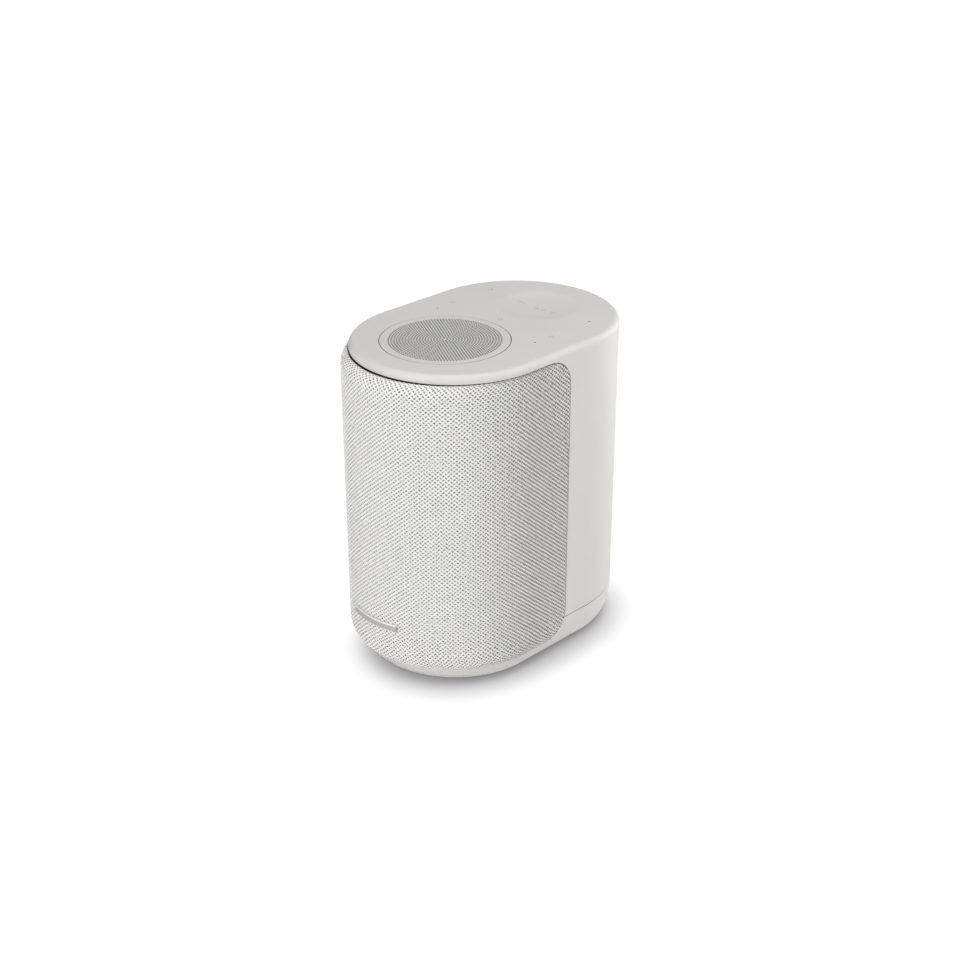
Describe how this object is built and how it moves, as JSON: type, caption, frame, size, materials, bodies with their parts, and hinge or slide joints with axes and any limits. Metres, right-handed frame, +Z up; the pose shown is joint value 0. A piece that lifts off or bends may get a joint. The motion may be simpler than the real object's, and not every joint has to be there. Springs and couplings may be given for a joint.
{
  "type": "smart speaker",
  "caption": "Upright oval mains smart speaker with a wrap-around cloth grille, an upward driver under a perforated disc, a touch dish and a two-pin mains inlet.",
  "frame": {"origin": "middle of the footprint, on the surface that the speaker stands on", "axes": "+Z up, -Y towards the cloth-covered front, +X across the width"},
  "size_m": [0.1128, 0.1706, 0.184],
  "materials": {
    "shell": "satin off-white moulding",
    "cloth": "off-white open weave",
    "disc": "satin off-white, perforated",
    "black_plastic": "matte black",
    "rubber": "matte dark grey",
    "foam": "dark grey foam",
    "cone": "matte dark cone",
    "dome": "soft coated cloth",
    "spider": "treated woven cloth",
    "film": "amber polyimide",
    "board": "green solder mask",
    "capacitor": "black sleeve",
    "lens": "milky light guide",
    "badge": "satin silver",
    "steel": "zinc-plated",
    "aluminium": "plain",
    "copper": "enamelled copper wire",
    "magnet": "dark sintered"
  },
  "bodies": {
    "cabinet": {"top_back_shell": "shell", "base_housing": "shell", "foot_pad": "rubber", "base_screw_1": "steel", "base_screw_2": "steel", "base_screw_3": "steel", "base_screw_4": "steel", "grille_fabric": "cloth", "grille_frame": "black_plastic", "badge_bar": "badge", "top_grille_disc": "disc", "touch_film": "film", "touch_board": "board", "microphone_seal_left": "foam", "microphone_seal_right": "foam", "light_pipe": "lens", "woofer_basket": "steel", "woofer_surround": "rubber", "woofer_spider": "spider", "woofer_top_plate": "steel", "woofer_magnet": "magnet", "woofer_pole_piece": "steel", "woofer_screw_1": "steel", "woofer_screw_2": "steel", "woofer_screw_3": "steel", "woofer_screw_4": "steel", "tweeter_faceplate": "black_plastic", "tweeter_motor": "magnet", "upward_chamber": "black_plastic", "upward_basket": "steel", "upward_surround": "rubber", "upward_yoke": "steel", "upward_magnet": "magnet", "upward_seal": "foam", "radiator_frame_left": "black_plastic", "radiator_surround_left": "rubber", "radiator_frame_right": "black_plastic", "radiator_surround_right": "rubber", "enclosure_tub": "black_plastic", "enclosure_lid": "black_plastic", "power_board": "board", "transformer": "magnet", "bulk_capacitor": "capacitor", "main_board": "board", "heat_sink": "aluminium", "antenna": "board", "inlet_socket": "black_plastic", "inlet_pin_left": "steel", "inlet_pin_right": "steel", "driver_lead": "rubber", "power_lead": "rubber", "touch_ribbon": "film"},
    "woofer_diaphragm": {"woofer_cone": "cone", "woofer_dust_cap": "cone", "woofer_voice_coil": "copper"},
    "tweeter_diaphragm": {"tweeter_dome": "dome"},
    "upward_diaphragm": {"upward_cone": "cone", "upward_voice_coil": "copper"},
    "radiator_left": {"radiator_plate_left": "aluminium"},
    "radiator_right": {"radiator_plate_right": "aluminium"}
  },
  "joints": [
    {"name": "woofer_travel", "type": "slide", "parent": "cabinet", "child": "woofer_diaphragm", "axis": [0, -1, 0], "range_m": [-0.003, 0.003], "stiffness_N_per_m": 1500},
    {"name": "tweeter_travel", "type": "slide", "parent": "cabinet", "child": "tweeter_diaphragm", "axis": [0, -1, 0], "range_m": [-0.0003, 0.0003], "stiffness_N_per_m": 3000},
    {"name": "upward_travel", "type": "slide", "parent": "cabinet", "child": "upward_diaphragm", "axis": [0, 0, 1], "range_m": [-0.002, 0.002], "stiffness_N_per_m": 1200},
    {"name": "radiator_left_travel", "type": "slide", "parent": "cabinet", "child": "radiator_left", "axis": [-1, 0, 0], "range_m": [-0.004, 0.004], "stiffness_N_per_m": 900},
    {"name": "radiator_right_travel", "type": "slide", "parent": "cabinet", "child": "radiator_right", "axis": [1, 0, 0], "range_m": [-0.004, 0.004], "stiffness_N_per_m": 900}
  ]
}
